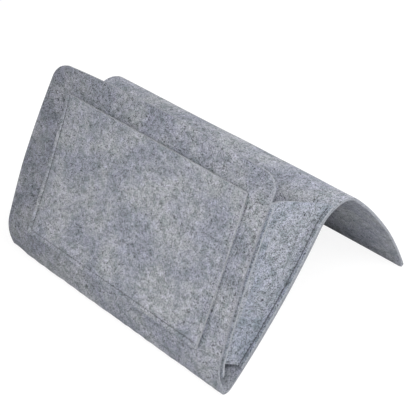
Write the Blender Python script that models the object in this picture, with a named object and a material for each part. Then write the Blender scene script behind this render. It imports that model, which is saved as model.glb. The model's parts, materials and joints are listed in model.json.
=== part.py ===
"""Felt caddy that hangs from a flap, standing up as a tent on its fold and its flap.

One strip of felt makes the front panel, the back panel and the flap. A patch sewn on the front
is the small pocket, and a gusset sewn in at each end closes the large pocket between the panels.
X runs along the ridge, -Y is the pocket side and +Z is up. The origin is on the floor, at the
middle of the space the caddy covers.
"""

import math

import bpy
from mathutils import Vector

mm = 0.001

# Felt, thread and the gap between neighbouring pieces
felt = 3.0 * mm
clearance = 0.3 * mm
thread_width = 0.9 * mm
thread_depth = 0.4 * mm

# The strip, from the mouth of the large pocket to the hem of the flap
mouth_width = 302.0 * mm
fold_width = 320.0 * mm
ridge_width = 343.0 * mm
hem_width = 350.0 * mm
front_length = 220.0 * mm
back_length = 187.0 * mm
flap_length = 190.0 * mm
fold_radius = 6.7 * mm
belly_length = 27.0 * mm
ridge_radius = 24.0 * mm
mouth_corner_radius = 16.0 * mm
hem_corner_radius = 6.0 * mm

# How the strip stands: the slopes of its panels, and how far the flap turns down along its length.
# The front panel swells out above the fold, then leans back.
belly_low_slope = math.radians(108.0)
belly_high_slope = math.radians(73.0)
front_slope = math.radians(65.5)
back_slope = math.radians(51.5)
flap_turn = math.radians(23.0)

# Small pocket, placed up the front panel from the end of the fold
pocket_start = 32.5 * mm
pocket_height = 162.0 * mm
pocket_bottom_width = 258.0 * mm
pocket_top_width = 250.0 * mm
pocket_corner_radius = 4.0 * mm
pocket_shift = 5.0 * mm
pocket_seam_inset = 5.0 * mm

# Gussets: flanges sewn to the panels' margins, and two leaves between them that crease inwards
flange_width = 7.0 * mm
flange_seam_inset = 4.0 * mm
seam_end_margin = 2.0 * mm
front_flange_start = 17.0 * mm
back_flange_start = 20.0 * mm
web_start = belly_length
front_web_end = 191.0 * mm
back_web_end = 185.0 * mm
crease_allowance = 2.0 * mm
front_leaf_lean = math.radians(21.0)
back_leaf_lean = math.radians(33.0)

# Facets of the curved pieces
fold_steps = 8
belly_steps = 4
ridge_steps = 6
flap_steps = 7
corner_steps = 6
nose_steps = 4
nose_tip_angle = math.radians(12.0)
smooth_angle = math.radians(35.0)

half_felt = felt / 2
thread_face = half_felt + clearance + thread_depth
knuckle_reach = half_felt + clearance
quarter_turn = math.pi / 2


def direction(angle):
    """Unit vector in the YZ plane, turned up from +Y."""
    return Vector((0.0, math.cos(angle), math.sin(angle)))


def turned_left(along):
    """The vector a quarter turn up from one in the YZ plane."""
    return Vector((0.0, -along.z, along.y))


def angle_of(vector):
    """Angle from +Y of a vector in the YZ plane."""
    return math.atan2(vector.z, vector.y)


def belly_facets():
    """Length and direction of each flat facet of the belly, from the end of the fold upwards."""
    facets = []
    for step in range(belly_steps):
        share = (step + 1 / 2) / belly_steps
        slope = belly_low_slope + (belly_high_slope - belly_low_slope) * share
        facets.append((belly_length / belly_steps, direction(slope)))
    return facets


def front_joints():
    """Distances up the front panel at which one facet ends."""
    joints = []
    along = 0.0
    for length, upwards in front_facets:
        along += length
        joints.append(along)
    return joints


def front_inward_at(along):
    """Inward direction at a distance up the front panel, mitred where two facets join."""
    for joint, (length, below), (length, above) in zip(front_joints(), front_facets, front_facets[1:]):
        if abs(along - joint) < thread_width:
            return -turned_left(below + above) / (1 + below.dot(above))
        if along < joint:
            return -turned_left(below)
    return -turned_left(front_facets[-1][1])


def front_at(along, inwards):
    """A point so far up the front panel, and so far in from the middle of its felt."""
    point = front_start.copy()
    left_over = along
    for length, upwards in front_facets:
        step = min(left_over, length)
        point += step * upwards
        left_over -= step
    return point + inwards * front_inward_at(along)


def flap_start_slope():
    """Downward slope at the ridge for which the flap's under edge just meets the floor."""
    chord = flap_length * math.sin(flap_turn / 2) / (flap_turn / 2)
    upright = ridge_radius - chord * math.sin(flap_turn / 2) - half_felt * math.cos(flap_turn)
    sideways = half_felt * math.sin(flap_turn) - chord * math.cos(flap_turn / 2)
    share = (ridge_radius - ridge_axis.z) / math.hypot(upright, sideways)
    return math.atan2(sideways, upright) + math.acos(share)


# Fold, ridge and flap, worked out from the sizes above
up = direction(quarter_turn)
fold_centre = (fold_radius + half_felt) * up
fold_axis = half_felt * up
front_start = fold_centre + fold_radius * turned_left(direction(belly_low_slope))
front_facets = belly_facets() + [(front_length - belly_length, direction(front_slope))]
back_along = direction(back_slope)
back_inward = turned_left(back_along)
back_start = fold_centre - fold_radius * back_inward
ridge_centre = back_start + back_length * back_along - ridge_radius * back_inward
ridge_axis = ridge_centre + ridge_radius * up
flap_slope = flap_start_slope()
flap_radius = flap_length / flap_turn
flap_centre = ridge_centre + (ridge_radius - flap_radius) * direction(quarter_turn - flap_slope)
foot_spoke = direction(quarter_turn - flap_slope - flap_turn)
foot_reach = (flap_centre + (flap_radius + half_felt) * foot_spoke).y
belly_reach = min(front_at(along, -thread_face).y for along in front_joints() if along < front_length)
middle = Vector((0.0, (foot_reach + belly_reach) / 2, 0.0))


def felt_material(name, colour):
    """Matt wool felt."""
    material = bpy.data.materials.new(name)
    material.use_nodes = True
    shader = material.node_tree.nodes["Principled BSDF"]
    shader.inputs["Base Color"].default_value = colour
    shader.inputs["Roughness"].default_value = 0.95
    shader.inputs["Metallic"].default_value = 0.0
    return material


def thread_material(name, colour):
    """Spun sewing thread, a little smoother than the felt."""
    material = felt_material(name, colour)
    material.node_tree.nodes["Principled BSDF"].inputs["Roughness"].default_value = 0.6
    return material


def inside_out(mesh):
    """True where the faces turn inwards, so that the solid's volume counts as negative."""
    mesh.calc_loop_triangles()
    volume = 0.0
    for triangle in mesh.loop_triangles:
        a, b, c = (mesh.vertices[index].co for index in triangle.vertices)
        volume += a.dot(b.cross(c))
    return volume < 0


def loft(name, loops, axis, material, parent=None):
    """A closed solid through loops with equal numbers of points. Its origin lies on the axis."""
    count = len(loops[0])
    points = [point - axis for loop in loops for point in loop]
    faces = [list(range(count))]
    for start in range(0, len(points) - count, count):
        for corner in range(count):
            beside = (corner + 1) % count
            faces.append([start + corner, start + count + corner, start + count + beside, start + beside])
    faces.append(list(range(len(points) - 1, len(points) - count - 1, -1)))
    mesh = bpy.data.meshes.new(name)
    mesh.from_pydata(points, [], faces)
    if inside_out(mesh):
        mesh.flip_normals()
    mesh.shade_smooth()
    mesh.set_sharp_from_angle(angle=smooth_angle)
    mesh.materials.append(material)
    piece = bpy.data.objects.new(name, mesh)
    bpy.context.scene.collection.objects.link(piece)
    piece.location = axis - middle
    if parent is not None:
        piece.parent = parent
        piece.location -= parent.location
    return piece


def cut_across(centre, across, half_thickness, left, right):
    """Corners of a sheet cut across its length. Centre and across lie in the YZ plane."""
    rise = half_thickness * across
    left_end = Vector((left, 0.0, 0.0))
    right_end = Vector((right, 0.0, 0.0))
    return [centre + rise + left_end, centre + rise + right_end, centre - rise + right_end, centre - rise + left_end]


def arc_loops(centre, radius, first, last, steps, half_width, side=1):
    """Cuts across a sheet bent about a centre. The angles are those of the spokes from +Y."""
    loops = []
    for step in range(steps + 1):
        spoke = direction(first + (last - first) * step / steps)
        loops.append(cut_across(centre + radius * spoke, side * spoke, half_felt, -half_width, half_width))
    return loops


def nose_loops(axis, outward, across, half_width):
    """Cuts across the rounded end that a sheet has at its hinge line, from the tip inwards."""
    loops = []
    for step in range(nose_steps):
        angle = nose_tip_angle + (quarter_turn - nose_tip_angle) * step / nose_steps
        centre = axis + half_felt * math.cos(angle) * outward
        loops.append(cut_across(centre, across, half_felt * math.sin(angle), -half_width, half_width))
    return loops


def corner_cuts(radius):
    """Distances from a sheet's end, and how much narrower each half is there, for round corners."""
    for step in range(corner_steps + 1):
        angle = quarter_turn * step / corner_steps
        yield radius * (1 - math.sin(angle)), radius * (1 - math.cos(angle))


def front_half_width(along):
    """Half the front panel's width at a distance from the end of the fold."""
    return (fold_width + (mouth_width - fold_width) * along / front_length) / 2


def back_half_width(along):
    """Half the back panel's width at a distance from the end of the fold."""
    return (fold_width + (ridge_width - fold_width) * along / back_length) / 2


def back_at(along, inwards):
    """A point so far up the back panel, and so far in from the middle of its felt."""
    return back_start + along * back_along + inwards * back_inward


def front_panel(material):
    """Front half of the fold, and the front panel up to the mouth of the large pocket."""
    loops = nose_loops(fold_axis, direction(0.0), -up, fold_width / 2)
    last = belly_low_slope + quarter_turn - 2 * math.pi
    loops += arc_loops(fold_centre, fold_radius, -quarter_turn, last, fold_steps, fold_width / 2)
    stations = [(along, 0.0) for along in front_joints()[:-1]]
    stations += [(front_length - short, loss) for short, loss in corner_cuts(mouth_corner_radius)]
    for along, loss in stations:
        half = front_half_width(along) - loss
        loops.append(cut_across(front_at(along, 0.0), -front_inward_at(along), half_felt, -half, half))
    return loft("front_panel", loops, fold_axis, material)


def back_panel(material):
    """Back half of the fold, the back panel, and the ridge up to the flap's hinge line."""
    first = knuckle_reach / fold_radius - quarter_turn
    last = angle_of(-back_inward)
    loops = arc_loops(fold_centre, fold_radius, first, last, fold_steps // 2, fold_width / 2)
    first = angle_of(back_inward)
    last = quarter_turn + knuckle_reach / ridge_radius
    loops += arc_loops(ridge_centre, ridge_radius, first, last, ridge_steps, ridge_width / 2, side=-1)
    return loft("back_panel", loops, fold_axis, material)


def flap(material):
    """The ridge from the hinge line on, and the flap down to its hem on the floor."""
    half = ridge_width / 2
    loops = nose_loops(ridge_axis, direction(math.pi), up, half)
    last = quarter_turn - flap_slope
    loops += arc_loops(ridge_centre, ridge_radius, quarter_turn, last, ridge_steps, half)
    for step in range(1, flap_steps):
        share = step / flap_steps
        spoke = direction(last - flap_turn * share)
        half = (ridge_width + (hem_width - ridge_width) * share) / 2
        loops.append(cut_across(flap_centre + flap_radius * spoke, spoke, half_felt, -half, half))
    hem = flap_centre + flap_radius * foot_spoke
    for short, loss in corner_cuts(hem_corner_radius):
        half = hem_width / 2 - loss
        loops.append(cut_across(hem + short * turned_left(foot_spoke), foot_spoke, half_felt, -half, half))
    return loft("flap", loops, ridge_axis, material)


def small_pocket(material, parent):
    """Patch on the front panel's outer face. Its top edge is open."""
    outer = -(felt + clearance)
    loops = []
    for short, loss in reversed(list(corner_cuts(pocket_corner_radius))):
        share = short / pocket_height
        half = (pocket_bottom_width + (pocket_top_width - pocket_bottom_width) * share) / 2 - loss
        centre = front_at(pocket_start + short, outer)
        across = front_inward_at(pocket_start + short)
        loops.append(cut_across(centre, across, half_felt, pocket_shift - half, pocket_shift + half))
    half = pocket_top_width / 2
    end = pocket_start + pocket_height
    across = front_inward_at(end)
    loops.append(cut_across(front_at(end, outer), across, half_felt, pocket_shift - half, pocket_shift + half))
    return loft("small_pocket", loops, fold_axis, material, parent)


def flange(name, point_at, half_width_at, inward_at, stations, side, axis, material, parent):
    """Gusset's flange on a panel's margin, with its raw edge flush with the panel's."""
    loops = []
    for along in stations:
        edge = half_width_at(along)
        centre = point_at(along, felt + clearance)
        across = inward_at(along)
        loops.append(cut_across(centre, across, half_felt, side * (edge - flange_width), side * edge))
    return loft(name, loops, axis, material, parent)


def hinge_line(point_at, half_width_at, start, end, side):
    """Lower and upper ends of the line where a leaf turns out of its flange."""
    ends = []
    for along in (start, end):
        across = side * (half_width_at(along) - flange_width - knuckle_reach)
        ends.append(point_at(along, felt + clearance) + Vector((across, 0.0, 0.0)))
    return ends


def leaf_frame(ends, inward, lean, side):
    """Lower end, length and the three directions of a leaf: up it, out along it, across its felt."""
    foot, head = ends
    upwards = (head - foot).normalized()
    square = (inward - inward.dot(upwards) * upwards).normalized()
    sideways = square.cross(upwards)
    if sideways.x * side > 0:
        sideways.negate()
    outwards = math.cos(lean) * square + math.sin(lean) * sideways
    return foot, (head - foot).length, upwards, outwards, upwards.cross(outwards)


def crease_reach(own, other, along):
    """How far out a leaf meets the plane of the other leaf, so far up its hinge line."""
    foot, length, upwards, outwards, across = own
    point = foot + along * upwards
    return (other[0] - point).dot(other[4]) / outwards.dot(other[4])


def leaf(name, own, other, material, parent):
    """Half of a gusset's web, with a round root on its hinge line, that ends short of the crease."""
    foot, length, upwards, outwards, across = own
    loops = []
    for along in (0.0, length):
        reach = crease_reach(own, other, along) - crease_allowance
        outline = [(reach, -half_felt), (reach, half_felt)]
        for step in range(corner_steps + 1):
            angle = quarter_turn + math.pi * step / corner_steps
            outline.append((half_felt * math.cos(angle), half_felt * math.sin(angle)))
        loops.append([foot + along * upwards + out * outwards + rise * across for out, rise in outline])
    return loft(name, loops, foot, material, parent)


def mitres(path):
    """For each point of a path, the vector to the edge of a band of half width one."""
    steps = [(b - a).normalized() for a, b in zip(path, path[1:])]
    before = [steps[0]] + steps
    after = steps + [steps[-1]]
    return [(Vector((-a.y - b.y, a.x + b.x)) / (1 + a.dot(b))) for a, b in zip(before, after)]


def thread(name, path, point_at, face, outwards, axis, material, parent):
    """One run of thread along a seam, on the face so far in from the middle of the panel's felt."""
    near = face + outwards * clearance
    far = near + outwards * thread_depth
    loops = []
    for (x, along), edge in zip(path, mitres([Vector(point) for point in path])):
        loop = []
        for side, level in ((1, near), (-1, near), (-1, far), (1, far)):
            offset = side * thread_width / 2 * edge
            loop.append(point_at(along + offset.y, level) + Vector((x + offset.x, 0.0, 0.0)))
        loops.append(loop)
    return loft(name, loops, axis, material, parent)


def small_pocket_seam(material, parent):
    """Both threads of the seam that holds the patch along its sides and its bottom."""
    low = pocket_start + pocket_seam_inset
    high = pocket_start + pocket_height - seam_end_margin
    bottom = pocket_bottom_width / 2 - pocket_seam_inset
    top = pocket_top_width / 2 - pocket_seam_inset
    path = [
        (pocket_shift - top, high),
        (pocket_shift - bottom, low),
        (pocket_shift + bottom, low),
        (pocket_shift + top, high),
    ]
    patch_face = -(half_felt + clearance + felt)
    thread("small_pocket_seam_needle_thread", path, front_at, patch_face, -1, fold_axis, material, parent)
    thread("small_pocket_seam_bobbin_thread", path, front_at, half_felt, 1, fold_axis, material, parent)


def flange_seam(name, point_at, half_width_at, stations, side, needle_outside, material, parent):
    """Both threads of the seam through a gusset's flange and the panel's margin."""
    ends = [stations[0] + seam_end_margin, stations[-1] - seam_end_margin]
    path = []
    for along in ends[:1] + stations[1:-1] + ends[1:]:
        path.append((side * (half_width_at(along) - flange_seam_inset), along))
    flange_face = half_felt + clearance + felt
    on_flange, on_panel = ("bobbin", "needle") if needle_outside else ("needle", "bobbin")
    thread(f"{name}_{on_flange}_thread", path, point_at, flange_face, 1, fold_axis, material, parent)
    thread(f"{name}_{on_panel}_thread", path, point_at, -half_felt, -1, fold_axis, material, parent)


def gusset(word, side, felt_finish, thread_finish, front, back):
    """The gusset at one end: two flanges with their seams, and the two leaves of its web."""
    front_ends = hinge_line(front_at, front_half_width, web_start, front_web_end, side)
    back_ends = hinge_line(back_at, back_half_width, web_start, back_web_end, side)
    front_leaf = leaf_frame(front_ends, front_inward_at(front_web_end), front_leaf_lean, side)
    back_leaf = leaf_frame(back_ends, back_inward, back_leaf_lean, side)
    front_stations = [front_flange_start]
    front_stations += [along for along in front_joints() if front_flange_start < along < front_web_end]
    front_stations.append(front_web_end)
    back_stations = [back_flange_start, back_web_end]
    flange(f"{word}_gusset_front_flange", front_at, front_half_width, front_inward_at, front_stations,
           side, fold_axis, felt_finish, front)
    flange(f"{word}_gusset_back_flange", back_at, back_half_width, lambda along: back_inward, back_stations,
           side, fold_axis, felt_finish, back)
    leaf(f"{word}_gusset_front_leaf", front_leaf, back_leaf, felt_finish, front)
    leaf(f"{word}_gusset_back_leaf", back_leaf, front_leaf, felt_finish, back)
    flange_seam(f"{word}_front_seam", front_at, front_half_width, front_stations,
                side, True, thread_finish, front)
    flange_seam(f"{word}_back_seam", back_at, back_half_width, back_stations,
                side, False, thread_finish, back)


def build():
    """Clear the scene, then make every piece where it lies at rest."""
    for item in list(bpy.data.objects):
        bpy.data.objects.remove(item)
    strip_felt = felt_material("strip_felt", (0.30, 0.30, 0.31, 1.0))
    pocket_felt = felt_material("pocket_felt", (0.31, 0.31, 0.32, 1.0))
    gusset_felt = felt_material("gusset_felt", (0.28, 0.28, 0.29, 1.0))
    grey_thread = thread_material("grey_thread", (0.12, 0.12, 0.125, 1.0))
    back = back_panel(strip_felt)
    front = front_panel(strip_felt)
    flap(strip_felt)
    small_pocket(pocket_felt, front)
    small_pocket_seam(grey_thread, front)
    gusset("right", 1, gusset_felt, grey_thread, front, back)
    gusset("left", -1, gusset_felt, grey_thread, front, back)


build()
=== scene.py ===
# %% [markdown]
# # A felt caddy that hangs from its flap
#
# The caddy is one strip of grey wool felt, folded up at the bottom to make a large pocket and
# over at the top to make a flap. A patch sewn on the front makes a flat pocket, and a gusset
# sewn in at each end closes the large one. Here it stands on a table like a tent.
# The solids of the part are the frame. Every sheet of felt is cut flat, folded to its curved
# shape and laid where its solid is.

# %% Frame, tools and helpers
import json
import math

import bpy
import numpy as np
from mathutils import Matrix, Vector, noise

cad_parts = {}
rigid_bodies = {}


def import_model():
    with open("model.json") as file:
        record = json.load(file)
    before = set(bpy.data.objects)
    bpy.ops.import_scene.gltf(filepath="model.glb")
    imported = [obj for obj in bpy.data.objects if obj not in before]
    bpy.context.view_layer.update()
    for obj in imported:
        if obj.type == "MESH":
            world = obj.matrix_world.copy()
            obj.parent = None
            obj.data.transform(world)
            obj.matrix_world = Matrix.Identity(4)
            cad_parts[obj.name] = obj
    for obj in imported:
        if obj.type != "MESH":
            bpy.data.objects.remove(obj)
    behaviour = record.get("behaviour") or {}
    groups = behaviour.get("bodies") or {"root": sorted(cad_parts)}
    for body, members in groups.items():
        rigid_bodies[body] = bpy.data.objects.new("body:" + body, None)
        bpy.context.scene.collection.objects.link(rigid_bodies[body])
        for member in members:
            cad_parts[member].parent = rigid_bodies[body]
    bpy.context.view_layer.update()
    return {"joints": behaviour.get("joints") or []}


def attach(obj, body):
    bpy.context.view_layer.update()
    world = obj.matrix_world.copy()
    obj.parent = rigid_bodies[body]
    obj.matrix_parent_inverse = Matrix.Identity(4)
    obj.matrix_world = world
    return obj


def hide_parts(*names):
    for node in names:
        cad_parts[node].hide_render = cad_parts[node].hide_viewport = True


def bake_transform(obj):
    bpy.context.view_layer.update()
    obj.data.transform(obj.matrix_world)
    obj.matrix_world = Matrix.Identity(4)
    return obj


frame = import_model()
mm = 0.001


def clear_selection():
    """Nothing stays selected, so that the next operator acts on its own piece only."""
    for item in bpy.context.view_layer.objects:
        item.select_set(False)


def make_active(piece):
    """Selects one piece and nothing else."""
    clear_selection()
    piece.select_set(True)
    bpy.context.view_layer.objects.active = piece


def apply_modifiers(piece):
    """Turns every modifier of a piece into mesh."""
    make_active(piece)
    for name in [modifier.name for modifier in piece.modifiers]:
        bpy.ops.object.modifier_apply(modifier=name)


# %% [markdown]
# ## How the strip runs
#
# Felt this thick bends in smooth curves, never in sharp corners. Seen from the end, the strip is
# one line whose slope changes slowly. A curve drawn by hand could give such a line too, but it
# would get longer or shorter with each move of a handle, and real felt doesn't stretch. So the
# shape is written as a slope at each distance along the felt, and a walk along the line adds up
# where each point lies. The front panel swells out just above the fold and then leans back. The
# back panel steepens on its way up to the ridge, and the flap falls more and more steeply until its
# hem rests on the table.

# %% Lengths and slopes of the strip
joint_places = {joint["name"]: joint["pos_m"] for joint in frame["joints"]}
felt = 3.0 * mm
half_felt = felt / 2
fold_axis_y = joint_places["pocket_fold"][1]
fold_radius = 6.7 * mm
walk_step = 0.5 * mm

front_length = 220.0 * mm
mouth_crown = 4.9 * mm
belly_slope = 1.7613
front_slope = 1.0855
front_turn = 0.0948
belly_length = 42.9 * mm

back_length = 176.0 * mm
back_low_slope = 0.7473
back_turn = 0.3176
ridge_radius = 33.2 * mm
flap_length = 184.3 * mm
flap_turn = -0.3637
print("front panel", round(front_length / mm), "mm, back panel", round(back_length / mm), "mm")

# %% [markdown]
# ## Slope at each distance
#
# The walk starts on the line where the fold lies on the table, once towards the front and once
# towards the back. Each half first turns round the fold, then follows its own gentle curves.

# %% The strip's two walks
def eased(share):
    """0 to 1 with a soft start and end."""
    share = min(max(share, 0.0), 1.0)
    return share * share * (3 - 2 * share)


front_arc = fold_radius * (math.pi - belly_slope)
back_arc = fold_radius * back_low_slope
back_top_slope = back_low_slope + back_turn


def front_slope_at(along):
    """Slope of the front half, from the lowest line of the fold up to the mouth."""
    if along < front_arc:
        return math.pi - along / fold_radius
    share = (along - front_arc) / front_length
    swell = 1 - eased((along - front_arc) / belly_length)
    return front_slope + front_turn * share + (belly_slope - front_slope) * swell


def back_slope_at(along, flap_slope):
    """Slope of the back half, from the lowest line of the fold over the ridge to the hem."""
    if along < back_arc:
        return along / fold_radius
    along -= back_arc
    if along < back_length:
        return back_low_slope + back_turn * along / back_length
    along -= back_length
    ridge_arc = ridge_radius * (back_top_slope + flap_slope)
    if along < ridge_arc:
        return back_top_slope - along / ridge_radius
    return -flap_slope + flap_turn * (along - ridge_arc) / flap_length


def walk(slope_at, length):
    """Points and slopes along a line in the YZ plane, every half millimetre."""
    steps = int(math.ceil(length / walk_step))
    step = length / steps
    slopes = np.array([slope_at(step * number) for number in range(steps + 1)])
    middles = (slopes[1:] + slopes[:-1]) / 2
    y = fold_axis_y + np.concatenate([[0.0], np.cumsum(np.cos(middles) * step)])
    z = half_felt + np.concatenate([[0.0], np.cumsum(np.sin(middles) * step)])
    return np.linspace(0.0, length, steps + 1), y, z, slopes


# %% [markdown]
# ## Letting the hem down to the table
#
# Where the flap ends depends on how steeply it starts. Too gentle and the hem hangs in the air, too
# steep and it goes through the table, so the slope between is found by halving the range.

# %% The flap's slope
def back_total(flap_slope):
    """Length of the back half of the strip."""
    return back_arc + back_length + ridge_radius * (back_top_slope + flap_slope) + flap_length


def hem_height(flap_slope):
    """Height of the hem's underside when the flap starts down at this slope."""
    distance, y, z, slopes = walk(lambda along: back_slope_at(along, flap_slope), back_total(flap_slope))
    return z[-1] - half_felt * math.cos(slopes[-1])


# Halving finds the slope at which the hem just rests on the table
low_slope, high_slope = 0.3, 1.2
halvings = 40
for number in range(halvings):
    flap_slope = (low_slope + high_slope) / 2
    if hem_height(flap_slope) > 0:
        low_slope = flap_slope
    else:
        high_slope = flap_slope

front_line = walk(front_slope_at, front_arc + front_length + mouth_crown)
back_line = walk(lambda along: back_slope_at(along, flap_slope), back_total(flap_slope))
ridge_start = back_arc + back_length
ridge_end = ridge_start + ridge_radius * (back_top_slope + flap_slope)
hem = back_total(flap_slope)
print("flap starts down at", round(math.degrees(flap_slope), 1), "degrees")
print("strip is", round((front_line[0][-1] + back_line[0][-1]) / mm), "mm long")
print("ridge top at", round(back_line[1][np.argmax(back_line[2])] / mm, 1), round(back_line[2].max() / mm, 1))

# %% [markdown]
# ## From the flat cut to the folded sheet
#
# A point of the felt is known by its place on the flat cut: how far across, and how far along
# from the fold. Two functions carry such a point to its place in space, with a distance in or
# out of the felt's middle for the pieces that are sewn on. The mouth of the pocket sags inwards
# between its two stiff ends, and both side edges of the front panel bow a little to the left.
# Hand-cut felt is never quite even, so soft noise moves it by up to half a millimetre.

# %% Widths, bows and unevenness
fold_width = 320.0 * mm
mouth_width = 302.0 * mm
ridge_ends = {-1: 157.0 * mm, 1: 171.5 * mm}
hem_ends = {-1: 168.0 * mm, 1: 175.0 * mm}
fold_lift = 3.6 * mm
lift_reach = 34.0 * mm
front_shift = -1.6 * mm
left_bulge = 9.6 * mm
right_hollow = 5.8 * mm
mouth_sag = 2.5 * mm
middle_sag = 1.9 * mm
lift_fade = 60.0 * mm
ripple = 0.45 * mm
front_ripple_size = 45.0 * mm
back_ripple_size = 60.0 * mm
calm_above_fold = 40.0 * mm
calm_at_hem = 30.0 * mm
crumple = 0.5 * mm
crumple_size = 40.0 * mm
crumple_squeeze = 4.0
crumple_start = 8.0 * mm
crumple_top = 12.0 * mm
crumple_fade = 40.0 * mm
front_seed, dent_seed, crumple_seed, back_seed = 1.5, 3.5, 4.5, 7.5
print("width at the fold", round(fold_width / mm), "mm, at the mouth", round(mouth_width / mm), "mm")

# %% [markdown]
# ## Raw edges
#
# The side edges are needed by every sheet that meets them: the panels themselves, the patch, the
# gussets and the rows of stitches. So each is a function of the distance along the felt.

# %% Raw edges of the strip
def line_at(line, along):
    """Point, and the direction a quarter turn left of the walk, at a distance along a line."""
    distance, y, z, slopes = line
    slope = float(np.interp(along, distance, slopes))
    point = Vector((0.0, float(np.interp(along, distance, y)), float(np.interp(along, distance, z))))
    return point, Vector((0.0, -math.sin(slope), math.cos(slope)))


def up_front(along):
    """Distance from the fold's lowest line, for a distance from the end of the fold."""
    return front_arc + along


def up_back(along):
    """The same on the back panel."""
    return back_arc + along


def front_edge(along, side):
    """Where the front panel's raw edge is, across from the middle, at a distance up the panel."""
    share = min(max((along - front_arc) / front_length, 0.0), 1.0)
    half = (fold_width + (mouth_width - fold_width) * share) / 2
    bow = math.sin(math.pi * share)
    shift = front_shift * eased(share * 6)
    return half + shift - right_hollow * bow if side > 0 else half - shift + left_bulge * bow


def back_edge(along, side):
    """The same on the back panel, the ridge and the flap."""
    ridge_middle = (ridge_start + ridge_end) / 2
    ridge_reach_out, hem_reach_out = ridge_ends[side], hem_ends[side]
    if along < ridge_middle:
        return fold_width / 2 + (ridge_reach_out - fold_width / 2) * along / ridge_middle
    share = (along - ridge_middle) / (hem - ridge_middle)
    return ridge_reach_out + (hem_reach_out - ridge_reach_out) * share


half_way_up = up_front(front_length / 2)
half_widths = [round(front_edge(half_way_up, side) / mm, 1) for side in (-1, 1)]
print("half way up, the front reaches", half_widths, "mm to the left and right")

# %% [markdown]
# ## Places in space
#
# A place on the flat cut is carried to its line in side view, moved across by its own distance
# from the middle, and pushed in or out by the sag, the unevenness and the layer that it lies in.

# %% Places on the front and on the back
def waves(x, along, seed, size):
    """Soft unevenness of hand-cut felt, from -1 to 1."""
    return noise.noise(Vector((x / size, along / size, seed)))


def sprung(x, along):
    """How far the fold springs up off the table at its left end, where nothing holds it."""
    share = 1 - (x + fold_width / 2) / lift_reach
    return fold_lift * eased(share) * (1 - eased(along / lift_fade))


def front_place(x, along, inwards):
    """A point of the front half: across, up from the fold's lowest line, in from its middle."""
    point, left = line_at(front_line, along)
    inward = -left
    share = min(max((along - front_arc) / front_length, 0.0), 1.0)
    across = 2 * x / fold_width
    sag = (1 - across * across) * (mouth_sag * share + middle_sag * math.sin(math.pi * share))
    uneven = ripple * eased(share * 5) * waves(x, along, front_seed, front_ripple_size)
    near_fold = eased(along / crumple_start) * (1 - eased((along - crumple_top) / crumple_fade))
    uneven += crumple * near_fold * waves(x * crumple_squeeze, along, crumple_seed, crumple_size)
    return point + (inwards + sag + uneven) * inward + Vector((x, 0.0, sprung(x, along)))


def back_place(x, along, inwards):
    """A point of the back half: across, along from the fold's lowest line, up from its middle."""
    point, left = line_at(back_line, along)
    uneven = ripple * eased((along - back_arc) / calm_above_fold)
    uneven *= waves(x, along, back_seed, back_ripple_size)
    uneven *= 1 - eased((along - hem + calm_at_hem) / calm_at_hem)
    return point + (inwards + uneven) * left + Vector((x, 0.0, sprung(x, along)))


mouth_middle = front_place(0.0, up_front(front_length + mouth_crown), 0.0)
print("middle of the mouth at", [round(value / mm, 1) for value in mouth_middle])

# %% [markdown]
# ## Where the seams run
#
# The patch is sewn 5 mm inside its left, bottom and right edges, and each gusset 4 mm inside the
# edges of the panels. The stitches pinch the felt and painted shade darkens it there, so the sheets
# need to know where they run. The patch's right-hand raw edge also presses a dent into the panel
# under it, which gets a line of painted shadow.

# %% Seams on the flat cut
layer = felt + 0.3 * mm
patch_start = up_front(33.0 * mm)
patch_end = up_front(195.3 * mm)
patch_half = 127.6 * mm
patch_narrowing = 2.4 * mm


def patch_edge(along, side):
    """How far the patch reaches from the middle of the panel."""
    share = (along - patch_start) / (patch_end - patch_start)
    return patch_half + side * front_shift - patch_narrowing * share


patch_seam_inset = 5.0 * mm
margin_seam_inset = 4.0 * mm
seam_groove = 0.8 * mm
groove_reach = 1.8 * mm
margin_groove_share = 0.5
patch_groove_share = 0.78
right_groove_share = 0.50
dent_offset = 1.2 * mm
dent_stop = 11.0 * mm
dent_share = 0.72
dent_unevenness = 0.55
dent_wave_size = 14.0 * mm
front_seam_low, front_seam_high = up_front(19.0 * mm), up_front(189.0 * mm)
back_seam_low, back_seam_high = up_back(22.0 * mm), up_back(197.0 * mm)
print("patch from", round(patch_start / mm, 1), "to", round(patch_end / mm, 1), "mm up the front")


def groove(distance):
    """How deep the felt is pinched, so far from a row of stitches."""
    return seam_groove * (1 - eased(abs(distance) / groove_reach))


def margin_pinch(x, along, edge_at, low, high):
    """Pinch of the gussets' seams on a panel's margins, between two distances along it."""
    if not low <= along <= high:
        return 0.0
    side = 1 if x > 0 else -1
    return groove(abs(x) - edge_at(along, side) + margin_seam_inset)


def patch_pinch(x, along):
    """Pinch of the patch's own seam, which runs down one side, along the bottom and up the other."""
    side = 1 if x > 0 else -1
    beyond = abs(x) - patch_edge(along, side) + patch_seam_inset
    below = patch_start + patch_seam_inset - along
    if below > groove_reach or beyond > groove_reach or along > patch_end:
        return 0.0
    share = right_groove_share if side > 0 and beyond > below else patch_groove_share
    return share * groove(max(beyond, below))


def patch_dent(x, along):
    """The dent that the patch's right-hand raw edge leaves in the panel under it, with a line of painted
    shadow.
    """
    if x < 0 or not patch_start <= along <= patch_end - dent_stop:
        return 0.0
    share = dent_share + dent_unevenness * waves(x, along, dent_seed, dent_wave_size)
    return share * groove(x - patch_edge(along, 1) - dent_offset)


# %% [markdown]
# ## One way to make every sheet
#
# A cloth simulation could fold the felt, but felt of 3 mm is so stiff that it stays where it was
# pressed, and a simulation would move it away from there. So each sheet is laid out as a flat
# grid, its rows and columns are moved onto the outline of the cut, and each point is carried to its
# place on the folded felt. A Solidify modifier gives the 3 mm of thickness and a narrow Bevel
# rounds the cut edges, as scissors leave them. The place on the flat cut is kept as an attribute,
# so that the felt's pattern follows the cloth round its folds. Rows and columns lie closer together
# at round corners and beside seams, where the shape changes within a few millimetres.

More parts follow.
